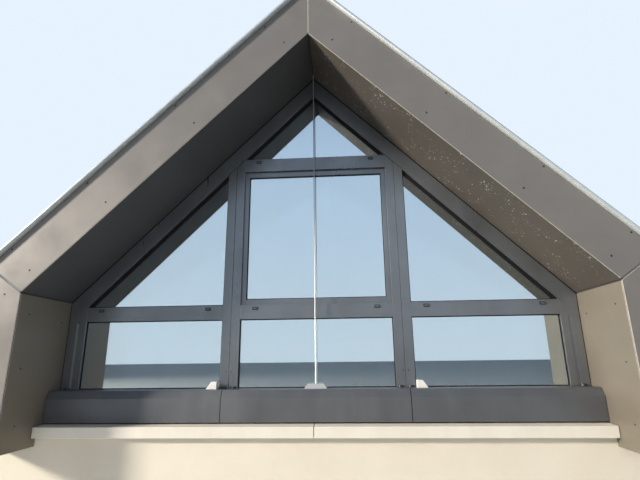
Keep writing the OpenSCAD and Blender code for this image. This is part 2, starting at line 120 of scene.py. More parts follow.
def feed(tree, socket, value):
    """Gives a socket a number, a colour or the output of another node."""
    if isinstance(value, bpy.types.NodeSocket):
        link(tree, value, socket)
    elif isinstance(value, (int, float)):
        socket.default_value = value
    else:
        socket.default_value = (*value, 1)


def ramp(tree, factor, stops):
    """Colours at positions along a factor."""
    made = add(tree, "ShaderNodeValToRGB")
    while len(made.color_ramp.elements) < len(stops):
        made.color_ramp.elements.new(0.5)
    for element, (position, colour) in zip(made.color_ramp.elements, stops):
        element.position = position
        element.color = (*colour, 1)
    link(tree, factor, made.inputs["Fac"])
    return made.outputs["Color"]


def blended(tree, share, under, top):
    """Two shaders mixed, the second by a share."""
    made = add(tree, "ShaderNodeMixShader")
    for socket, value in zip(made.inputs, (share, under, top)):
        link(tree, value, socket)
    return made.outputs[0]


# %% [markdown]
# The surround of a studio is an even pale tone to the eye. In reflections it turns
# a clearer, darker blue with height, so that the panes aren't one flat colour and
# the slope of the metal sill is darker than its upright front. A picture wrapped
# round the world would do this too, but a ramp over the height of each ray needs no
# picture. The Light Path node tells the rays apart, so what is seen and what is
# mirrored can be pale while the dormer itself gets a plain level of light.

# %% Make the pale surround
scene = bpy.context.scene
scene.view_settings.view_transform = "Standard"

pale_blue = (0.80, 0.89, 1.0)
lighting_tone = (0.85, 0.93, 1.0)
lighting_level = 0.36

world = bpy.data.worlds.new("pale surround")
scene.world = world
world.use_nodes = True
surround = world.node_tree
surround.nodes.clear()
ray = add(surround, "ShaderNodeLightPath").outputs
height = add(surround, "ShaderNodeSeparateXYZ")
link(surround, add(surround, "ShaderNodeTexCoord").outputs["Generated"], height.inputs[0])
mirrored = ramp(surround, height.outputs["Z"],
                [(0.02, (0.78, 0.87, 0.93)), (0.45, (0.58, 0.73, 0.92)),
                 (0.80, (0.14, 0.22, 0.38))])


def background(colour, strength):
    """The output of a background in a colour, at a strength."""
    made = add(surround, "ShaderNodeBackground", {"Strength": strength})
    feed(surround, made.inputs["Color"], colour)
    return made.outputs[0]


surface = background(lighting_tone, lighting_level)
for kind, colour in (("Is Glossy Ray", mirrored), ("Is Transmission Ray", pale_blue),
                     ("Is Camera Ray", pale_blue)):
    surface = blended(surround, ray[kind], surface, background(colour, 1.0))
link(surround, surface, add(surround, "ShaderNodeOutputWorld").inputs["Surface"])
print("nodes in the surround:", len(surround.nodes))

# %% [markdown]
# The light is that of a soft studio. One lamp stands far to the left and a little
# above the ridge, so that the left cheek and slope cast a soft shadow across the
# screen. A weaker one low on the right opens that shadow, and a third lights the
# roof from behind. The first could be a sun lamp, whose rays are all parallel. A
# square lamp far away comes close to that, and its size sets how soft the shadow's
# edge is. Only the first lamp shows in metal, as a bright line on its edges.

# %% Place the lamps
def lamp(name, place, target, size, power, colour, in_metal=False):
    """A square soft light turned towards a target, which shows in metal or doesn't."""
    data = bpy.data.lights.new(name, "AREA")
    data.size = size
    data.energy = power
    data.color = colour
    made = bpy.data.objects.new(name, data)
    scene.collection.objects.link(made)
    made.location = place
    made.rotation_euler = (Vector(target) - Vector(place)).to_track_quat("-Z", "Y").to_euler()
    made.visible_glossy = in_metal
    made.visible_transmission = False


screen_middle = Vector((0, -0.2, sill_line + 0.9))
key_direction = Vector((-0.866, -0.415, 0.278))
key_distance = 26.0
fill_place = (4.5, -8.0, 0.9)
back_place, roof_middle = (-4.5, 7.0, 7.5), (0, 0.6, 1.8)
lamp("key", screen_middle + key_distance * key_direction, screen_middle, size=3.0, power=11900,
     colour=(1.0, 0.92, 0.80), in_metal=True)
lamp("front fill", fill_place, screen_middle, size=4.0, power=100, colour=(1.0, 0.97, 0.93))
lamp("back", back_place, roof_middle, size=4.0, power=620, colour=(0.94, 0.97, 1.0))
print("lamps:", len(bpy.data.lights))

# %% [markdown]
# A real surface varies in two ways: its colour drifts over a hand's breadth, and
# its grain is far finer. Both could be painted by hand. A noise at the right scale
# gives them without any picture, and the same noise can drive colour, gloss and
# bump, so that they fit together. All patterns use Object coordinates in metres,
# so a scale of 100 means features of about a centimetre.

# %% Helpers for materials
def blank(name, **sockets):
    """A material, its node tree, its shader and its object coordinates."""
    material = bpy.data.materials.new(name)
    material.use_nodes = True
    tree = material.node_tree
    shader = tree.nodes["Principled BSDF"]
    for key, value in sockets.items():
        shader.inputs[key.replace("_", " ")].default_value = value
    place = add(tree, "ShaderNodeTexCoord").outputs["Object"]
    return material, tree, shader, place


def noise(tree, place, scale, detail=4.0, rough=0.55, stretch=None):
    """A noise field, which stretch lengthens along an axis."""
    if stretch:
        mapping = add(tree, "ShaderNodeMapping", {"Scale": stretch})
        link(tree, place, mapping.inputs["Vector"])
        place = mapping.outputs["Vector"]
    made = add(tree, "ShaderNodeTexNoise", {"Scale": scale, "Detail": detail, "Roughness": rough})
    link(tree, place, made.inputs["Vector"])
    return made.outputs["Fac"]


def remap(tree, value, low, high, new_low, new_high):
    """Carries the values from low to high over to a new range."""
    made = add(tree, "ShaderNodeMapRange", {"From Min": low, "From Max": high, "To Min": new_low,
                                            "To Max": new_high})
    link(tree, value, made.inputs["Value"])
    return made.outputs["Result"]


def mix(tree, factor, under, top):
    """Lays one colour over another by a factor."""
    made = add(tree, "ShaderNodeMix", data_type="RGBA")
    for socket, value in ((made.inputs[0], factor), (made.inputs[6], under),
                          (made.inputs[7], top)):
        feed(tree, socket, value)
    return made.outputs[2]


def calc(tree, operation, first, second=0.0):
    """A Math node over two values."""
    made = add(tree, "ShaderNodeMath", operation=operation)
    for socket, value in zip(made.inputs, (first, second)):
        feed(tree, socket, value)
    return made.outputs[0]


def bump(tree, shader, height, distance, strength=1.0):
    """A bump of a real depth in metres on the shader's normal."""
    made = add(tree, "ShaderNodeBump", {"Strength": strength, "Distance": distance})
    link(tree, height, made.inputs["Height"])
    link(tree, made.outputs["Normal"], shader.inputs["Normal"])


def tint(colour, factor):
    """A colour made paler or darker."""
    return tuple(min(1.0, c * factor) for c in colour)


print("a grey and its paler tint:", (0.5, 0.5, 0.5), tint((0.5, 0.5, 0.5), 1.1))

# %% [markdown]
# The screen and its sill are powder coated: a tough satin skin with a very fine
# orange peel. Rain leaves faint upright streaks and a little dust on it. A plain
# metallic grey would look like a toy. Here a noise that is stretched along Z gives
# the streaks, and they also dull the gloss, as real dust does.

# %% Powder coated aluminium
def powder_coat(name, colour, rough, metal, dusty):
    """A satin coat with upright streaks, which take up to a share of dust."""
    material, tree, shader, place = blank(name, Metallic=metal, IOR=1.5)
    cloud = noise(tree, place, 3.5, 5)
    streak = noise(tree, place, 9, 6, stretch=(1, 1, 0.08))
    orange_peel = noise(tree, place, 1400, 2)
    base = ramp(tree, cloud, [(0.3, tint(colour, 0.88)), (0.7, tint(colour, 1.12))])
    dust = remap(tree, streak, 0.52, 0.75, 0.0, dusty)
    link(tree, mix(tree, dust, base, (0.30, 0.30, 0.29)), shader.inputs["Base Color"])
    link(tree, remap(tree, streak, 0.3, 0.7, rough - 0.05, rough + 0.09),
         shader.inputs["Roughness"])
    bump(tree, shader, orange_peel, 0.00012, 0.5)
    return material


frame_coat = powder_coat("frame powder coat", (0.196, 0.212, 0.232), 0.30, 0.66, 0.08)
sill_coat = powder_coat("sill powder coat", (0.125, 0.132, 0.144), 0.42, 0.44, 0.10)
print("powder coats:", frame_coat.name, "and", sill_coat.name)

# %% [markdown]
# The surround of the screen is clad in coated panels of a warm grey. They are
# smooth, a little metallic, and dulled by weather. Both soffits are one cladding,
# but the left one and the base panels get a darker, cooler coat, which is painted
# shade. Under the right slope, where no rain reaches, pale specks of dirt and lime
# stay on. Specks could be modelled one by one, but they have no height. A Voronoi
# texture gives round dots of two sizes, and a coarser noise leaves them only in
# patches. Where a panel was sawn, its bare edge is paler, and that finish is paler
# still as a painted highlight, the line of light that these edges catch. So that
# edge has a finish of its own.

# %% Cladding panels
speck_layers = ((38.0, 0.13, 0.47), (72.0, 0.14, 0.50))
speck_colour = (0.66, 0.64, 0.58)


def cladding(name, colour, rough, specks=0.0):
    """A coated panel. Each layer of specks has a scale, a dot's size and a bare share."""
    material, tree, shader, place = blank(name, Metallic=0.25, IOR=1.5)
    cloud = noise(tree, place, 1.7, 6, 0.6)
    wash = noise(tree, place, 5, 6, 0.6, stretch=(1, 0.3, 1))
    base = ramp(tree, cloud, [(0.3, tint(colour, 0.90)), (0.72, tint(colour, 1.10))])
    base = mix(tree, remap(tree, wash, 0.5, 0.8, 0, 0.22), base, tint(colour, 1.35))
    for scale, size, bare in speck_layers if specks else ():
        field = add(tree, "ShaderNodeTexVoronoi", {"Scale": scale, "Randomness": 1.0})
        link(tree, place, field.inputs["Vector"])
        dot = remap(tree, field.outputs["Distance"], size, size + 0.08, 1.0, 0.0)
        patch = remap(tree, noise(tree, place, 6.5, 5, 0.72), bare, bare + 0.12, 0.0, specks)
        base = mix(tree, calc(tree, "MULTIPLY", dot, patch), base, speck_colour)
    link(tree, base, shader.inputs["Base Color"])
    link(tree, remap(tree, wash, 0.3, 0.7, rough - 0.06, rough + 0.10),
         shader.inputs["Roughness"])
    bump(tree, shader, noise(tree, place, 900, 2), 0.0001, 0.4)
    return material


panel_coat = cladding("panel coat", (0.214, 0.200, 0.189), 0.38)
# The left soffit's coat is darker and cooler than the right one's: painted shade.
shaded_soffit_coat = cladding("sheltered panel coat", (0.078, 0.079, 0.083), 0.52)
speckled_coat = cladding("speckled panel coat", (0.104, 0.092, 0.079), 0.50, specks=0.9)
lining_coat = cladding("lining panel coat", (0.205, 0.180, 0.144), 0.46)
# The pale edge finish is partly the sawn edge's own colour and partly a painted highlight.
edge_and_highlight_material, tree, shader, place = blank("cut panel edge and painted highlight", Roughness=0.5)
link(tree, ramp(tree, noise(tree, place, 60, 3), [(0.3, (0.38, 0.355, 0.315)),
                                                  (0.7, (0.50, 0.47, 0.42))]),
     shader.inputs["Base Color"])
print("panel finishes:", [m.name for m in bpy.data.materials if "panel" in m.name])

# %% [markdown]
# The metal edge and the ridge cap are thin pale sheet. It keeps a soft shine and
# gathers dull patches. Bare zinc could be fully metallic, but weather covers it
# with a grey skin, so only a third of it is, and one noise moves tone and gloss.

# %% Pale sheet metal
zinc_metal, tree, shader, place = blank("pale sheet metal", Metallic=0.35)
patches = noise(tree, place, 7, 6, 0.62)
link(tree, ramp(tree, patches, [(0.3, (0.51, 0.56, 0.58)), (0.72, (0.61, 0.67, 0.69))]),
     shader.inputs["Base Color"])
link(tree, remap(tree, patches, 0.3, 0.7, 0.30, 0.44), shader.inputs["Roughness"])
bump(tree, shader, noise(tree, place, 9, 2), 0.0003, 0.2)
print("made:", zinc_metal.name)

# %% [markdown]
# The wall has a fine roughcast: sand grains of one or two millimetres in a cream
# mortar. The cast sill is smooth, with fine pores and a slight stain. Real grains
# would need millions of faces, so a bump of 3 mm from a very fine noise stands for
# them, and the same noise darkens the hollows between them as painted shade.

# %% Roughcast and cast stone
render_coat, tree, shader, place = blank("cream roughcast", Roughness=0.92)
grain = noise(tree, place, 420, 5, 0.7)
blotch = noise(tree, place, 2.6, 5, 0.6)
base = ramp(tree, blotch, [(0.3, (0.725, 0.675, 0.575)), (0.7, (0.78, 0.735, 0.645))])
# Darker where the grain is low: painted shade in the hollows.
link(tree, mix(tree, remap(tree, grain, 0.38, 0.52, 0.24, 0.0), base, (0.50, 0.44, 0.35)),
     shader.inputs["Base Color"])
bump(tree, shader, grain, 0.0030, 0.9)

cast_stone, tree, shader, place = blank("smooth cast stone", Roughness=0.62)
pores = add(tree, "ShaderNodeTexVoronoi", {"Scale": 240.0})
link(tree, place, pores.inputs["Vector"])
stain = noise(tree, place, 6, 6, 0.6, stretch=(1, 1, 0.4))
link(tree, ramp(tree, stain, [(0.32, (0.70, 0.66, 0.585)), (0.66, (0.76, 0.73, 0.665))]),
     shader.inputs["Base Color"])
bump(tree, shader, remap(tree, pores.outputs["Distance"], 0.08, 0.2, 0, 1), 0.0006, 0.5)
print("made:", render_coat.name, "and", cast_stone.name)

# %% [markdown]
# Studs and packing are sawn softwood. Its grain could be drawn with a wave
# texture, which looks too regular. A noise that is stretched along the length of
# the timber gives long uneven rings.

# %% Sawn timber
def wood_colour(tree, place, stretch):
    """The colour of softwood, and the rings that it comes from."""
    rings = noise(tree, place, 26, 8, 0.65, stretch=stretch)
    return ramp(tree, rings, [(0.30, (0.36, 0.25, 0.14)), (0.52, (0.53, 0.40, 0.25)),
                              (0.74, (0.63, 0.51, 0.35))]), rings


def sawn(name, rough, stretch):
    """Sawn softwood with its grain along the axis that is stretched."""
    material, tree, shader, place = blank(name, Roughness=rough)
    colour, rings = wood_colour(tree, place, stretch)
    link(tree, colour, shader.inputs["Base Color"])
    bump(tree, shader, rings, 0.0008, 0.6)
    return material


timber = sawn("sawn softwood", 0.75, (1, 1, 0.07))
packing = sawn("packing timber", 0.78, (0.05, 1, 1))
print("made:", timber.name, "and", packing.name)

# %% [markdown]
# On the cut faces of a roof slope the rafters, the quilt between them and the
# boards on top show as bands. They could be separate solids, but each slope is one
# solid here. Its material measures how far a point lies over the rafters' lower
# edge, and where it lies along the ridge, and picks timber or quilt from that.

# %% Section through the roof
rafter_spacing, rafter_width, rafter_depth = 0.45, 0.06, 0.188
pattern_start = 2.0

roof_section, tree, shader, place = blank("section through the roof", Roughness=0.85)
parts = add(tree, "ShaderNodeSeparateXYZ")
link(tree, place, parts.inputs[0])
across = calc(tree, "ABSOLUTE", parts.outputs["X"])
rise = calc(tree, "ADD", across, parts.outputs["Z"])
depth = calc(tree, "SUBTRACT", calc(tree, "MULTIPLY", rise, math.cos(pitch)),
               inner_ridge * math.cos(pitch) + panel_thick)
along_ridge = calc(tree, "ADD", parts.outputs["Y"], pattern_start)
is_rafter = calc(tree, "LESS_THAN", calc(tree, "MODULO", along_ridge, rafter_spacing),
                   rafter_width)
is_board = calc(tree, "GREATER_THAN", depth, rafter_depth)
is_timber = calc(tree, "MAXIMUM", is_rafter, is_board)
fibre = noise(tree, place, 130, 6, 0.75, stretch=(1, 0.3, 1))
quilt = ramp(tree, fibre, [(0.3, (0.42, 0.36, 0.22)), (0.7, (0.66, 0.60, 0.42))])
link(tree, mix(tree, is_timber, quilt, wood_colour(tree, place, (1, 1, 1))[0]),
     shader.inputs["Base Color"])
bump(tree, shader, calc(tree, "MULTIPLY", fibre, calc(tree, "SUBTRACT", 1.0, is_timber)),
     0.006, 0.8)
print("rafters every", rafter_spacing, "m")

# %% [markdown]
# Inside, the boards are painted matt white. Small fittings are black, white or
# grey plastic, and sealant is a dull black. The wire is stranded bright steel, and
# the screws are steel with a dark coat. All of these are plain finishes that differ
# in tone, gloss and the size of their grain, so one function makes them all.

# %% Boards, plastics, sealant and steel
def plain_coat(name, colour, rough, scale, depth, metal=0.0, gloss=0.5):
    """An even finish with a faint cloud of a scale and a fine grain of a depth."""
    material, tree, shader, place = blank(name, Metallic=metal, Specular_IOR_Level=gloss)
    field = noise(tree, place, scale, 4)
    link(tree, ramp(tree, field, [(0.3, tint(colour, 0.92)), (0.7, tint(colour, 1.06))]),
         shader.inputs["Base Color"])
    link(tree, remap(tree, field, 0.3, 0.7, rough - 0.05, rough + 0.06),
         shader.inputs["Roughness"])
    bump(tree, shader, noise(tree, place, scale * 12, 3), depth, 0.5)
    return material


white_paint = plain_coat("matt white paint", (0.80, 0.79, 0.76), 0.8, 9, 0.0006)
white_plastic = plain_coat("white plastic", (0.84, 0.84, 0.82), 0.42, 60, 0.0001)
black_plastic = plain_coat("black plastic", (0.022, 0.023, 0.025), 0.45, 80, 0.0002)
grey_plastic = plain_coat("grey plastic", (0.105, 0.110, 0.118), 0.40, 80, 0.0002)
foil_coat = plain_coat("weathered foil", (0.060, 0.055, 0.049), 0.7, 90, 0.0003)
black_seal = plain_coat("black sealant", (0.016, 0.016, 0.017), 0.7, 120, 0.0005, gloss=0.2)
gasket_rubber = plain_coat("gasket rubber", (0.010, 0.010, 0.011), 0.6, 150, 0.0002, gloss=0.2)
wire_steel = plain_coat("stranded wire steel", (0.66, 0.68, 0.68), 0.38, 260, 0.0004, 0.55)
dark_steel = plain_coat("coated screw steel", (0.035, 0.033, 0.032), 0.5, 300, 0.0001, 0.3)
spacer_metal = plain_coat("spacer bar", (0.10, 0.10, 0.105), 0.45, 90, 0.0001, 0.6)
print("finishes so far:", len(bpy.data.materials))

# %% [markdown]
# The panes are coated against the sun. The coat is a metal film so thin that it
# is half a mirror: most of the light comes back off it, and little gets through.
# Plain glass would show the room and hardly mirror at all. A metallic share on a
# transmitting shader gives the half mirror, and a faint smear keeps it from being
# perfect.

# %% Coated glass
pane_glass, tree, shader, place = blank(
    "coated glass", Base_Color=(0.82, 0.90, 0.94, 1), Metallic=0.66, Roughness=0.0, IOR=1.52,
    Transmission_Weight=1.0)
smear = noise(tree, place, 2.2, 5)
link(tree, remap(tree, smear, 0.35, 0.75, 0.0, 0.012), shader.inputs["Roughness"])
print("made:", pane_glass.name)

# %% [markdown]
# New pieces are shaped in a bmesh, which is Blender's mesh for editing. These
# helpers turn a finished bmesh into an object and tie it to the dormer, copy a
# node and merge its triangles back into flat faces, give a flat outline its
# thickness, and gather several shapes in one mesh.

# %% Helpers for pieces
same_point = 0.00001


def as_piece(shape, name, materials, slot, *stands_for):
    """Makes the bmesh an object, and lets it stand for the nodes given."""
    mesh = bpy.data.meshes.new(name)
    shape.to_mesh(mesh)
    shape.free()
    made = bpy.data.objects.new(name, mesh)
    scene.collection.objects.link(made)
    for material in materials if isinstance(materials, list) else [materials]:
        mesh.materials.append(material)
    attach(made, "root")
    if stands_for:
        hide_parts(*stands_for)


def flat_faced(name):
    """A bmesh copy of a node with its loose triangles merged into flat faces."""
    shape = bmesh.new()
    shape.from_mesh(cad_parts[name].data)
    bmesh.ops.remove_doubles(shape, verts=shape.verts, dist=same_point)
    bmesh.ops.dissolve_limit(shape, angle_limit=math.radians(0.5), verts=shape.verts,
                             edges=shape.edges, use_dissolve_boundaries=False)
    return shape


def one_face(points):
    """A bmesh with a single face through the points."""
    shape = bmesh.new()
    shape.faces.new([shape.verts.new(point) for point in points])
    return shape


def thicken(shape, depth, along=(0, 1, 0)):
    """Pulls all faces along an axis by a depth and closes the sides."""
    grown = bmesh.ops.extrude_face_region(shape, geom=shape.faces[:])
    moved = [g for g in grown["geom"] if isinstance(g, bmesh.types.BMVert)]
    bmesh.ops.translate(shape, verts=moved, vec=[part * depth for part in along])
    bmesh.ops.recalc_face_normals(shape, faces=shape.faces)


def merge_in(target, source, matrix=None):
    """Adds a copy of one bmesh to another, moved by a matrix."""
    mesh = bpy.data.meshes.new("copy")
    source.to_mesh(mesh)
    if matrix:
        mesh.transform(matrix)
    target.from_mesh(mesh)
    bpy.data.meshes.remove(mesh)


trial = flat_faced("ridge_cap")
print("ridge cap:", len(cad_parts["ridge_cap"].data.polygons), "triangles become",
      len(trial.faces), "faces")
trial.free()

# %% [markdown]
# A real edge is never perfectly sharp, and catches a thin line of light. A Bevel
# modifier could round the edges of a node, but a node's mesh is loose triangles
# and stays as it is. So a copy is merged into flat faces, every sharp edge gets a
# small bevel, and the copy stands for the node. Where a panel shows its sawn
# edges, the small side faces get a second, paler finish, which is partly the sawn
# edge and partly a painted highlight.

# %% Helpers for softened edges
def round_edges(shape, edges, width, segments, clamp=True):
    """Bevels the edges, and gives back what the operator made."""
    return bmesh.ops.bevel(shape, geom=edges, offset=width, offset_type="OFFSET",
                           segments=segments, profile=0.5, affect="EDGES", material=-1,
                           clamp_overlap=clamp)


def softened(name, width, material, slot, segments=2, edge_and_highlight_finish=None):
    """A copy of a node with bevelled edges, which stands for it."""
    shape = flat_faced(name)
    if edge_and_highlight_finish:
        for face in shape.faces:
            frontal = abs(face.normal.y)
            small = face.calc_area() < 0.02
            face.material_index = 1 if frontal < 0.1 or (small and frontal < 0.5) else 0
    sharp = [e for e in shape.edges if len(e.link_faces) == 2
             and e.calc_face_angle(0) > math.radians(20)]
    round_edges(shape, sharp, width, segments)
    bmesh.ops.recalc_face_normals(shape, faces=shape.faces)
    finishes = [material, edge_and_highlight_finish] if edge_and_highlight_finish else material
    as_piece(shape, name + "_finished", finishes, slot, name)


def paint(name, material):
    """Gives a node that keeps its own mesh its finish."""
    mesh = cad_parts[name].data
    mesh.materials.clear()
    mesh.materials.append(material)


# %% [markdown]
# The wall, studs, roof slopes and packing are rough or hidden. They keep the
# solids' own shape and only get their finish. The inside sill is a board with a
# hand-sanded edge, and the ridge cap is folded sheet with hardly any.

# %% Dress the structure
sheet_round, blunt_round = 0.0008, 0.003

paint("front_wall", render_coat)
for side in ("left", "right"):
    paint(f"cheek_wall_{side}", timber)
    paint(f"roof_{side}", roof_section)
    paint(f"wall_board_{side}", white_paint)
    paint(f"ceiling_board_{side}", white_paint)
paint("sill_curb", packing)
paint("perimeter_seal", black_seal)
# The base panels take the left soffit's darkened coat, which is painted shade.
paint("base_panels", shaded_soffit_coat)
softened("inner_sill", blunt_round, white_paint, "plaster", segments=3)
softened("ridge_cap", sheet_round, zinc_metal, "zinc")

# %% [markdown]
# The surround is panels on all sides: bands to the front, soffits under the
# slopes, linings beside the screen, and cladding outside. The front corner of each
# lining has a wider round with the pale edge finish, a painted highlight that
# stands for the line of light on it. One bevel over the whole panel can't give two
# widths, so that corner is rounded first and painted, and the other edges get
# their fine round after it.

# %% Dress the surround
panel_round, soffit_round, corner_round, fine_round = 0.0026, 0.0020, 0.0048, 0.0006
touching = 0.0001


def corner_with_painted_highlight(name, material):
    """A lining whose front corner has a wider round than the rest, with a painted highlight."""
    shape = flat_faced(name)
    front = min(v.co.y for v in shape.verts) + touching
    corner = [e for e in shape.edges
              if all(v.co.y < front and abs(v.co.x) < lining_x + touching for v in e.verts)]
    # The corner round gets the pale finish, a painted highlight.
    for face in round_edges(shape, corner, corner_round, 4, clamp=False)["faces"]:
        face.material_index = 1
    sharp = [e for e in shape.edges if e.calc_face_angle(0) > math.radians(40)]
    round_edges(shape, sharp, fine_round, 1)
    bmesh.ops.recalc_face_normals(shape, faces=shape.faces)
    as_piece(shape, name + "_finished", [material, edge_and_highlight_material], "cladding", name)


# The left soffit gets the darkened coat, which is painted shade.
for side, under_slope in (("left", shaded_soffit_coat), ("right", speckled_coat)):
    # The side faces of the bands get the pale finish, partly sawn edge and partly painted
    # highlight.
    softened(f"fascia_{side}", panel_round, panel_coat, "cladding", 3, edge_and_highlight_material)
    softened(f"cheek_front_{side}", panel_round, panel_coat, "cladding", 3, edge_and_highlight_material)
    softened(f"soffit_{side}", soffit_round, under_slope, "cladding")
    corner_with_painted_highlight(f"cheek_lining_{side}", lining_coat)
    softened(f"cheek_cladding_{side}", fine_round, panel_coat, "cladding")
    softened(f"metal_edge_{side}", sheet_round, zinc_metal, "zinc")
print("rounds on the panels:", panel_round, soffit_round, corner_round, fine_round)

# %% [markdown]
# The profiles of the screen have edges of one to two millimetres, the metal sill
# is bent sheet, and the cast sill is stone with a blunt edge. One width for all
# would make them look like one material. Each gets the round that its making
# leaves, so that the line of light on it has the right width.

# %% Dress the screen and the sills
jamb_round, profile_round, sill_round, block_round, wire_round = (
    0.0019, 0.0013, 0.0010, 0.0020, 0.0004)

for name in ("jamb_left", "jamb_right", "rake_left", "rake_right", "mullion_left",
             "mullion_right", "low_transom_left", "low_transom_centre", "low_transom_right",
             "top_transom", "bottom_rail", "sash"):
    softened(name, jamb_round if "jamb" in name else profile_round, frame_coat, "frame_metal")
for name in ("metal_sill_left", "metal_sill_centre", "metal_sill_right"):
    softened(name, sill_round, sill_coat, "sill_metal", segments=3)
for name in ("cast_sill_left", "cast_sill_right"):
    softened(name, blunt_round, cast_stone, "cast_stone", segments=3)
softened("mullion_blocks", block_round, white_plastic, "white_plastic", segments=3)
softened("centre_wire", wire_round, wire_steel, "steel")

# %% [markdown]
# The drain caps are grey plates on a black rim. The rim could be a ring of its
# own, but an inset of the cap's front face gives it without a second solid.

# %% Drain caps
rim_width = 0.0045

drains = flat_faced("drain_caps")
plates = [f for f in drains.faces if f.normal.y < -0.9]
bmesh.ops.inset_individual(drains, faces=plates, thickness=rim_width, use_even_offset=True)
for plate in plates:
    plate.material_index = 1
print("drain caps:", len(plates))
as_piece(drains, "drain_caps_finished", [black_plastic, grey_plastic], "black_plastic",
         "drain_caps")

# %% [markdown]
# The three lengths of the metal sill are sealed where they meet, with sealant that
# has the sheet's own section. That section is already there, as the end face of
# the middle length. It is copied, and drawn out to the next length.

# %% Sealant between the lengths of sill
hairline = 0.0002

sill_seal = bmesh.new()
far = abs(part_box("metal_sill_right")[0].x) - hairline
for side in (-1, 1):
    source = flat_faced("metal_sill_centre")
    end = max(source.faces, key=lambda f: side * f.normal.x)
    section = [v.co.copy() for v in end.verts]
    source.free()
    near = abs(section[0].x) + hairline
    filling = one_face([(side * near, p.y, p.z) for p in section])
    thicken(filling, far - near, along=(side, 0, 0))
    merge_in(sill_seal, filling)
    filling.free()
as_piece(sill_seal, "sill_seal", black_seal, "sealant")
print("sealant between the sills:", round((far - near) * 1000, 1), "mm wide")

# %% [markdown]
# A sealed unit is two panes held apart by a bar round the edge. One solid block of
# glass would bend the light like a lens. So each unit is made again from the
# outline of its solid's front face: two thin sheets, and insets of the same
# outline for the ring of the spacer bar and the ring of the gasket, which sits on
# the line where the metal ends.

# %% Helpers for glass units
def front_face(name, start):
    """The outline of a node's front face as one face, moved back by start."""
    shape = flat_faced(name)
    front = min(shape.faces, key=lambda f: f.calc_center_median().y)
    outline = [v.co.copy() for v in front.verts]
    shape.free()
    flat = one_face(outline)
    bmesh.ops.translate(flat, verts=flat.verts, vec=(0, start, 0))
    return flat


def pane(name, start, depth):
    """One sheet of glass, from start behind the unit's front face."""
    shape = front_face(name, start)
    thicken(shape, depth)
    return shape


def keep_band(shape, width):
    """Keeps only a band of a width along the outline."""
    band = bmesh.ops.inset_region(shape, faces=shape.faces[:], thickness=width,
                                  use_even_offset=True, use_boundary=True)["faces"]
    bmesh.ops.delete(shape, geom=[f for f in shape.faces if f not in band], context="FACES")


def ring(name, outer, width, start, depth):
    """A flat ring inside the unit's outline, given thickness along Y."""
    shape = front_face(name, start)
    if outer > 0:
        rim = bmesh.ops.inset_region(shape, faces=shape.faces[:], thickness=outer,
                                     use_even_offset=True, use_boundary=True)["faces"]
        bmesh.ops.delete(shape, geom=rim, context="FACES")
    keep_band(shape, width)
    thicken(shape, depth)
    return shape


# %% [markdown]
# The metal holds each unit by 12 mm all round, which a glazier calls the bite. The
# gasket begins where the bite ends, and stands 4 mm over the glass. It could lie on
# the glass, but two faces in one plane flicker in a render, so a tenth of a
# millimetre is left between them.

# %% Make the glass units and their gaskets
sheet = 0.004
bite = 0.012
spacer_width = 0.014
gasket_width, gasket_start, gasket_depth = 0.005, -0.004, 0.0039
units = ("low_glass_left", "low_glass_centre", "low_glass_right", "high_glass_left",
         "high_glass_right", "sash_glass", "top_glass")
for name in units:
    low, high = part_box(name)
    unit = high.y - low.y
    glass = pane(name, 0.0, sheet)
    merge_in(glass, pane(name, unit - sheet, sheet))
    as_piece(glass, name + "_panes", pane_glass, "glazing", name)
    as_piece(ring(name, 0.0, spacer_width, sheet, unit - 2 * sheet), name + "_spacer",
             spacer_metal, "black_plastic", name)
    as_piece(ring(name, bite, gasket_width, gasket_start, gasket_depth), name + "_gasket",
             gasket_rubber, "sealant")
print("glass units:", len(units))

# %% [markdown]
# Under each rake the glazing seal is broad: a black strip that is partly seal and
# partly painted shade, the dark band under the rake's lip. It could be drawn point
# by point, but the pane's own outline is there to start from. Two cuts along the
# slope leave the strip of it that is wanted, and a third keeps it on its own side
# of the ridge.

# %% Broad seal and painted shade under the rakes
rake_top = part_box("rake_right")[1].z
rake_lip = 0.095
broad_start, broad_end = rake_lip + 0.0045, rake_lip + 0.023
broad_front, broad_depth = -0.006, 0.0059


def cut_off(shape, point, way):
    """Cuts the shape with a plane, and drops the side that the way points to."""
    return bmesh.ops.bisect_plane(shape, geom=shape.verts[:] + shape.edges[:] + shape.faces[:],
                                  plane_co=point, plane_no=way, clear_outer=True)["geom_cut"]


def rake_seal_and_shade(name, side):
    """A strip of the pane's outline, from the lip's edge down the slope."""
    shape = front_face(name, broad_front)
    out = Vector((side * out_right.x, 0, out_right.z))
    top = Vector((0, 0, rake_top))
    cut_off(shape, top - out * broad_start, out)
    cut_off(shape, top - out * broad_end, -out)
    cut_off(shape, (0, 0, 0), (-side, 0, 0))
    thicken(shape, broad_depth)
    return shape


for name, side in (("high_glass_left", -1), ("high_glass_right", 1), ("top_glass", -1),
                   ("top_glass", 1)):
    label = name + ("_left" if side < 0 else "_right")
    # Each strip is partly seal and partly painted shade under the rake's lip.
    as_piece(rake_seal_and_shade(name, side), label + "_rake_seal_and_shade", gasket_rubber, "sealant")
print("broad seal:", round((broad_end - broad_start) * 1000, 1), "mm wide")

# %% [markdown]
# The sash closes against the frame on a rubber seal. It shows as a dark line
# round the sash, behind the lips of the frame. It is a ring as the gaskets are, but
# its outline is the sash's own box, made smaller by what the frame laps over it.

# %% Seal round the sash
def oblong(left, right, bottom, top):
    """The four corners of an upright oblong, in X and Z."""
    return [(left, bottom), (right, bottom), (right, top), (left, top)]


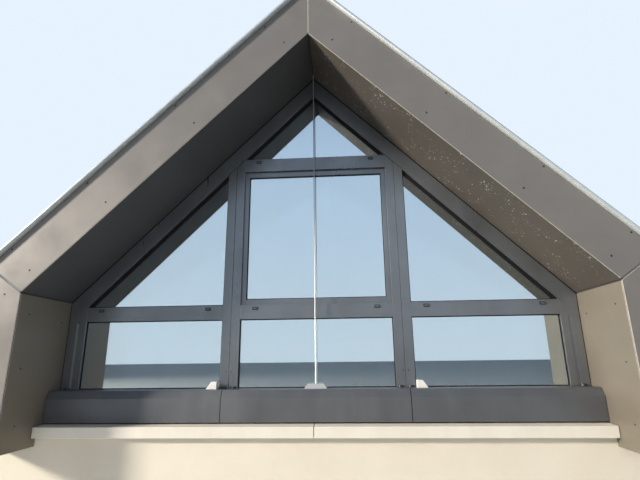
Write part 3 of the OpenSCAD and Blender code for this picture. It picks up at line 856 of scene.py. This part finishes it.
low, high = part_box("sash")
lap = 0.008
corners = oblong(low.x + lap, high.x - lap, low.z + lap, high.z - lap)
seal = one_face([(x, low.y + gasket_start, z) for x, z in corners])
keep_band(seal, gasket_width)
thicken(seal, gasket_depth)
as_piece(seal, "sash_seal", gasket_rubber, "sealant")
print("sash", round(high.x - low.x, 3), "m wide and", round(high.z - low.z, 3), "m high")

# %% [markdown]
# The joints between the panels are open. A dark foil over the timber closes the
# bottom of each one, or else the room would be seen through them. A plain black
# line painted on would look flat from the side. A thin plate at the bottom of the
# joint leaves its real depth, and the light does the rest.

# %% Foil in the joints
def strip(shape, outline, y, depth, side=1):
    """Adds a plate with an outline in X and Z, or its mirror image, to a bmesh."""
    plate = one_face([(side * x, y, z) for x, z in outline])
    thicken(plate, depth)
    merge_in(shape, plate)
    plate.free()


half_joint = joint / 2 - hairline
foil_thick, foil_over, foil_behind = 0.001, 0.002, 0.03
end_short = 0.004
panel_back = front_y + panel_thick
seal_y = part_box("perimeter_seal")[0].y
band_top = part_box("fascia_right")[1].z
ridge_low = inner_ridge - half_joint
ridge_back = inner_ridge + panel_thick / math.cos(pitch)
stud_x = lining_x + panel_thick

along = Vector((math.cos(kink_rise), 0, math.sin(kink_rise)))
half_kink = Vector((-along.z, 0, along.x)) * half_joint
inner_end = Vector((lining_x, 0, corner_z))
outer_end = inner_end + along * ((cheek_x - lining_x) / along.x - end_short)


def kink_outline(start, share):
    """The joint at the kink from start on, over a share of its width."""
    near, edge = inner_end + along * start, half_kink * share
    return [(p.x, p.z) for p in (near - edge, outer_end - edge, outer_end + edge, near + edge)]


foil = bmesh.new()
strip(foil, oblong(-half_joint, half_joint, ridge_low, band_top - half_joint),
      panel_back - foil_thick, foil_thick)
gable = [(-half_joint, ridge_back - half_joint),
         (-half_joint, ridge_back - half_joint - foil_thick), (0, ridge_back - foil_thick),
         (half_joint, ridge_back - half_joint - foil_thick),
         (half_joint, ridge_back - half_joint), (0, ridge_back)]
strip(foil, gable, panel_back, seal_y - panel_back)
for side in (-1, 1):
    strip(foil, kink_outline(0.0, 1.0), panel_back - foil_thick, foil_thick, side)
    strip(foil, oblong(stud_x - foil_thick, stud_x, corner_z - joint, corner_z + foil_over),
          panel_back, seal_y - panel_back + foil_behind, side)
as_piece(foil, "joint_foil", foil_coat, "sealant")
print("open joints:", round(joint * 1000, 1), "mm wide")

# %% [markdown]
# In the joint at the ridge a pale bar fills two thirds of it: one panel's sawn
# edge, made pale as a painted highlight on that edge. The joints at the kinks hold
# a narrower metal bar. Behind each front corner a black strip darkens the line
# between lining and band, which is painted shade in the groove there. All could be
# left out, but then every joint would be equally black. They are plates like the
# foil, and the bars stand back a little from the front, so that the joint still
# reads.

# %% Bars in the joints, and painted shade behind the corners
set_back = 0.0012
pale_edge_x, ridge_bar_up = 0.0014, 0.005
kink_bar_start, kink_bar_share = 0.006, 0.62
corner_shade_x, corner_shade_end_x = lining_x + 0.0004, lining_x + 0.0035
corner_shade_up, corner_shade_down, corner_shade_depth = 0.004, 0.006, 0.0019
bar_y = front_y + set_back
bar_depth = panel_thick - set_back - foil_thick

# The ridge bar has the pale edge finish: a sawn edge that is also a painted highlight.
ridge_highlight_bar = bmesh.new()
strip(ridge_highlight_bar, oblong(-half_joint, pale_edge_x, ridge_low + ridge_bar_up,
                        band_top - half_joint - end_short), bar_y, bar_depth)
as_piece(ridge_highlight_bar, "ridge_joint_highlight_bar", edge_and_highlight_material, "cladding")

kink_bars = bmesh.new()
corner_shade_strip = bmesh.new()
low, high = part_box("cheek_lining_right")
for side in (-1, 1):
    strip(kink_bars, kink_outline(kink_bar_start, kink_bar_share), bar_y, bar_depth, side)
    # A black strip behind each front corner is painted shade in the groove between lining and
    # band.
    strip(corner_shade_strip, oblong(corner_shade_x, corner_shade_end_x, low.z + corner_shade_up, high.z - corner_shade_down),
          panel_back + touching, corner_shade_depth, side)
as_piece(kink_bars, "kink_joint_bars", frame_coat, "frame_metal")
as_piece(corner_shade_strip, "corner_shade_strip", black_seal, "sealant")
print("bars in the joints:", round(bar_depth * 1000, 1), "mm deep")

# %% [markdown]
# The posts are sealed to the rakes, which shows as a fine dark line along the
# lower edge of each rake. A line in the material would need a mask of its own, and
# a thin slanting plate that follows the edge across each post does not.

# %% Sealant over the mullions
post_edges = (0.4815, 0.5945)
line_half, line_proud = 0.002, 0.0006

post_seal = bmesh.new()
(x0, z0), (x1, z1) = [(x, rake_top - rake_lip / math.cos(pitch) - x) for x in post_edges]
line = [(x0, z0 - line_half), (x1, z1 - line_half), (x1, z1 + line_half), (x0, z0 + line_half)]
for side in (-1, 1):
    strip(post_seal, line, -line_proud, line_proud, side)
as_piece(post_seal, "post_seal", black_seal, "sealant")
print("sealant over the mullions:", round(2 * line_half * 1000, 1), "mm high")

# %% [markdown]
# The panels are screwed to the frame behind. A screw head is a low dome on a thin
# flange. A squashed sphere would have no flange, so the head's half outline is
# drawn and spun round its axis. It is spun once, and copies of it are turned to
# face out of each panel.

# %% Helpers for screw heads
def screw_head(radius, height):
    """A domed head round +Z, closed at the bottom."""
    shape = bmesh.new()
    outline = [(0, 0), (radius, 0), (radius, height * 0.3), (radius * 0.8, height * 0.75),
               (radius * 0.4, height), (0, height)]
    points = [shape.verts.new((x, 0, z)) for x, z in outline]
    edges = [shape.edges.new(pair) for pair in zip(points, points[1:])]
    bmesh.ops.spin(shape, geom=points + edges, cent=(0, 0, 0), axis=(0, 0, 1),
                   angle=math.tau, steps=14, use_merge=True)
    bmesh.ops.remove_doubles(shape, verts=shape.verts, dist=same_point)
    bmesh.ops.recalc_face_normals(shape, faces=shape.faces)
    return shape


def facing(place, direction):
    """A matrix that carries +Z to a direction at a place."""
    turn = Vector(direction).to_track_quat("Z", "Y").to_matrix().to_4x4()
    return Matrix.Translation(place) @ turn


def screws(name, spots, radius, height, material, slot):
    """All the heads of one kind as one piece."""
    head = screw_head(radius, height)
    shape = bmesh.new()
    for place, direction in spots:
        merge_in(shape, head, facing(place, direction))
    head.free()
    as_piece(shape, name, material, slot)


trial = screw_head(radius=0.005, height=0.002)
print("faces of a screw head:", len(trial.faces))
trial.free()

# %% [markdown]
# The rows of screws follow the panels. On the raking bands they stand in pairs
# square to the edge, on the linings near the front and the back, and on the foot of
# each mullion side by side. They could be spread evenly, but real ones follow the
# frame behind the panel. So each place is given by its distances from the dormer's
# own lines, and mirrored to the other side.

# %% Set the screws
band_rows = (0.152, 0.692, 1.183, 1.575)
first_line, second_line = 0.065, 0.240
beside_lining, over_sill = 0.092, 0.533
lining_rows = ((-0.074, 0.407), (-0.370, 0.428), (-0.370, 0.134), (-0.345, -0.166))
post_screws, post_screws_up = (0.524, 0.556), 0.098
band_head, lining_head, post_head = (0.0056, 0.0020), (0.0052, 0.0018), (0.004, 0.0012)
to_front = (0, -1, 0)


def band_point(along_x, square):
    """A point over the raking inner edge: along_x on that edge, then square to it."""
    return Vector((along_x, 0, inner_ridge - along_x)) + square * out_right


fascia_spots = []
for inner in band_rows:
    for square in (first_line, second_line):
        point = band_point(inner - first_line * math.sin(pitch), square)
        for side in (-1, 1):
            fascia_spots.append(((side * point.x, front_y, point.z), to_front))
for side in (-1, 1):
    fascia_spots.append(((side * (lining_x + beside_lining), front_y, sill_line + over_sill),
                         to_front))
screws("fascia_screws", fascia_spots, *band_head, dark_steel, "cladding")

lining_spots = [((side * lining_x, y, sill_line + z), (-side, 0, 0))
                for y, z in lining_rows for side in (-1, 1)]
screws("lining_screws", lining_spots, *lining_head, dark_steel, "cladding")

cover_spots = [((side * x, 0.0, sill_line + post_screws_up), to_front)
               for x in post_screws for side in (-1, 1)]
screws("mullion_screws", cover_spots, *post_head, black_plastic, "black_plastic")
print("screw heads:", len(fascia_spots) + len(lining_spots) + len(cover_spots))

# %% [markdown]
# The foot of each mullion profile, and of each jamb, is closed by a half-round
# plastic cap that stands on the sill. It could be an arc drawn by hand. A tapered
# cylinder that is cut through its middle by a plane is the same shape in two steps.

# %% Caps at the feet of the posts
def close_cut(shape, cut):
    """Fills the hole that a cut has left."""
    rim = [g for g in cut if isinstance(g, bmesh.types.BMEdge)]
    bmesh.ops.holes_fill(shape, edges=rim, sides=0)


def half_round(width, depth, height):
    """Half a cylinder that stands on the sill with its flat back to the screen."""
    shape = bmesh.new()
    bmesh.ops.create_cone(shape, cap_ends=True, cap_tris=False, segments=28, radius1=0.5,
                          radius2=0.46, depth=1.0)
    bmesh.ops.scale(shape, vec=(width, 2 * depth, height), verts=shape.verts)
    bmesh.ops.translate(shape, vec=(0, 0, height / 2), verts=shape.verts)
    close_cut(shape, cut_off(shape, (0, 0, 0), (0, 1, 0)))
    bmesh.ops.recalc_face_normals(shape, faces=shape.faces)
    return shape


foot_places = (0.506, 0.566, 1.560)
foot_cap = half_round(width=0.036, depth=0.016, height=0.012)
foot_caps = bmesh.new()
for x in foot_places:
    for side in (-1, 1):
        merge_in(foot_caps, foot_cap, Matrix.Translation((side * x, 0, sill_line)))
foot_cap.free()
as_piece(foot_caps, "foot_caps", black_plastic, "black_plastic")
print("caps at the feet:", 2 * len(foot_places))

# %% [markdown]
# Slate is split stone, and its colour varies from piece to piece. A pattern over
# the whole roof would run across the joints. So each slate carries its own tone in
# an attribute of the mesh, with a second value that runs from head to tail for the
# moss that grows on the tails. The material reads both.

# %% Riven slate
slate_finish, tree, shader, place = blank("riven slate", Roughness=0.55)
slate_tone = add(tree, "ShaderNodeAttribute", attribute_name="slate_tone")
channels = add(tree, "ShaderNodeSeparateColor")
link(tree, slate_tone.outputs["Color"], channels.inputs["Color"])
base = ramp(tree, channels.outputs["Red"], [(0.0, (0.075, 0.088, 0.098)),
                                            (0.55, (0.125, 0.140, 0.148)),
                                            (1.0, (0.205, 0.212, 0.205))])
riven = noise(tree, place, 26, 8, 0.62)
base = mix(tree, remap(tree, riven, 0.3, 0.75, 0.0, 0.35), base, (0.26, 0.27, 0.26))
growth = noise(tree, place, 34, 6, 0.7)
tail = calc(tree, "POWER", channels.outputs["Green"], 5.0)
moss = calc(tree, "MULTIPLY", tail, remap(tree, growth, 0.42, 0.56, 0.0, 1.0))
link(tree, mix(tree, moss, base, (0.105, 0.100, 0.045)), shader.inputs["Base Color"])
bump(tree, shader, riven, 0.0022, 0.7)

underlay, tree, shader, place = blank("battens and underlay", Roughness=0.9)
link(tree, ramp(tree, noise(tree, place, 30, 4), [(0.3, (0.02, 0.018, 0.015)),
                                                  (0.7, (0.05, 0.043, 0.035))]),
     shader.inputs["Base Color"])
print("made:", slate_finish.name, "and", underlay.name)

# %% [markdown]
# Slates are laid from the eaves up. Each course overlaps the one below, and the
# upright joints shift by half a slate. The height of a course could be typed in,
# but then the last one would be cut. The courses share the slope evenly instead.
# The lean of a slate follows from that, because its tail rests on the next course.

# %% Measure the slating
slating_depth, step, slate_thick = 0.045, 0.014, 0.007
slate_width, slate_gap, head_lap = 0.272, 0.003, 0.030
usual_course, narrowest = 0.2, 0.02
slating_low, slating_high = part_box("slating_right")
slope_length = slating_high.x / math.cos(pitch)
courses = round(slope_length / usual_course)
course = slope_length / courses
deck_top = Vector((0, 0, slating_high.z - (slating_depth - step) / math.cos(pitch)))
tilt = math.atan(step / course)
print("courses:", courses, "of", round(course * 1000), "mm")

# %% [markdown]
# A slate is a thin cuboid, turned so that it lies on the course below. An array
# could repeat it, but no two slates lie quite alike. Each one is placed by itself,
# sunk and shifted by a chance of its own. The row of chances starts from a fixed
# number, so the roof comes out the same in every run. Under the slates lies a dark
# slab, which closes the view between them.

# %% Helpers for the slates
slide, sink, off_deck = 0.002, 0.0008, 0.0004
slate_inset, slab_inset, slab_clear, short_of_eaves = 0.002, 0.001, 0.003, 0.06


def chances(seed):
    """A row of numbers between 0 and 1 that is the same in each run."""
    while True:
        seed = (seed * 1103515245 + 12345) % 2 ** 31
        yield seed / 2 ** 31


def slate_field(seed):
    """The right slope of slates as one mesh."""
    shape = bmesh.new()
    tone_layer = shape.loops.layers.float_color.new("slate_tone")
    start = slating_low.y + slate_inset
    length = course + head_lap
    lean = Matrix.Rotation(pitch - tilt, 4, "Y")
    over_deck = slating_depth - slate_thick / 2 - off_deck - length / 2 * math.sin(tilt)
    draws = chances(seed)
    for row in range(courses):
        middle = (row + 1) * course - slating_depth - length / 2
        across = start + (slate_width / 2 if row % 2 else 0) - slate_width
        while across < slating_high.y:
            chance = next(draws)
            left, right = max(across, start), across + slate_width - slate_gap
            across += slate_width
            if right - left < narrowest:
                continue
            size = Matrix.Diagonal((length, right - left, slate_thick, 1))
            centre = (deck_top + down_right * (middle - slide * (chance - 0.5))
                      + out_right * (over_deck - sink * chance))
            centre = Vector((centre.x, (left + right) / 2, centre.z))
            made = bmesh.ops.create_cube(shape, size=1.0)["verts"]
            from_head = {v: 0.0 if v.co.x < 0 else 1.0 for v in made}
            bmesh.ops.transform(shape, matrix=Matrix.Translation(centre) @ lean @ size, verts=made)
            for face in {f for v in made for f in v.link_faces}:
                for loop in face.loops:
                    loop[tone_layer] = (chance, from_head[loop.vert], 0, 1)
    return shape


def underlay_layer():
    """The dark slab under the right slope of slates."""
    thick = slating_depth - step - slate_thick - slab_clear
    foot = deck_top + down_right * (slope_length - short_of_eaves)
    ends = [deck_top + out_right * hairline, foot + out_right * hairline,
            foot + out_right * thick,
            deck_top + Vector((0, 0, thick / math.cos(pitch)))]
    shape = one_face([(p.x, slating_low.y + slab_inset, p.z) for p in ends])
    thicken(shape, slating_high.y - slating_low.y)
    return shape


# %% [markdown]
# Both slopes are made as the right one, and cut at the back along the slanting
# plane that ends the dormer. The left one is then mirrored, with chances of its own
# so that the two don't look alike. A mirror turns a mesh inside out, so its faces
# are turned outwards again at the end.

# %% Lay the slates
cut_start = (0, -0.400, sill_line - 0.296)
cut_slope = math.radians(50)
behind = (0, math.sin(cut_slope), -math.cos(cut_slope))

for side, label, seed in ((1, "right", 7), (-1, "left", 3)):
    slates = slate_field(seed)
    slab = underlay_layer()
    for shape in (slates, slab):
        close_cut(shape, cut_off(shape, cut_start, behind))
        if side < 0:
            bmesh.ops.scale(shape, vec=(-1, 1, 1), verts=shape.verts)
        bmesh.ops.recalc_face_normals(shape, faces=shape.faces)
    print("faces of slate on the", label, "slope:", len(slates.faces))
    as_piece(slates, f"slates_{label}", slate_finish, "slate", f"slating_{label}")
    as_piece(slab, f"underlay_{label}", underlay, "slate", f"slating_{label}")

# %% [markdown]
# The dormer stands on a plain pale floor, which isn't part of the piece. It
# sends less light up than it shows, because a real dormer stands high over its
# ground and its soffits are dark. Only a strip at its foot is a pale bounce board,
# which opens the shade on the wall and the sills. Light Path tells which rays see
# the pale floor and which the darker one.

# %% Floor
floor_half = 250
board_front, board_back = -1.5, -0.15
seen_colour, seen_glow, glow_share = (0.80, 0.80, 0.79), (0.86, 0.92, 1.0, 1), 0.64
dull_colour, board_colour = (0.19, 0.19, 0.19), (0.85, 0.87, 0.90)

floor_shape = bmesh.new()
bmesh.ops.create_grid(floor_shape, x_segments=1, y_segments=1, size=floor_half)
floor_mesh = bpy.data.meshes.new("floor")
floor_shape.to_mesh(floor_mesh)
floor_shape.free()
floor = bpy.data.objects.new("floor", floor_mesh)
scene.collection.objects.link(floor)

floor_finish, tree, shader, place = blank("pale floor", Roughness=0.9)
floor_ray = add(tree, "ShaderNodeLightPath").outputs
seen = calc(tree, "MAXIMUM", floor_ray["Is Camera Ray"], floor_ray["Is Transmission Ray"])
spot = add(tree, "ShaderNodeSeparateXYZ")
link(tree, place, spot.inputs[0])
board = calc(tree, "MULTIPLY",
               calc(tree, "GREATER_THAN", spot.outputs["Y"], board_front),
               calc(tree, "LESS_THAN", spot.outputs["Y"], board_back))
lit = mix(tree, board, dull_colour, board_colour)
link(tree, mix(tree, seen, lit, seen_colour), shader.inputs["Base Color"])
glow = add(tree, "ShaderNodeEmission", {"Color": seen_glow, "Strength": 1.0})
lift = blended(tree, calc(tree, "MULTIPLY", seen, glow_share), shader.outputs[0],
               glow.outputs[0])
link(tree, lift, tree.nodes["Material Output"].inputs["Surface"])
floor_mesh.materials.append(floor_finish)
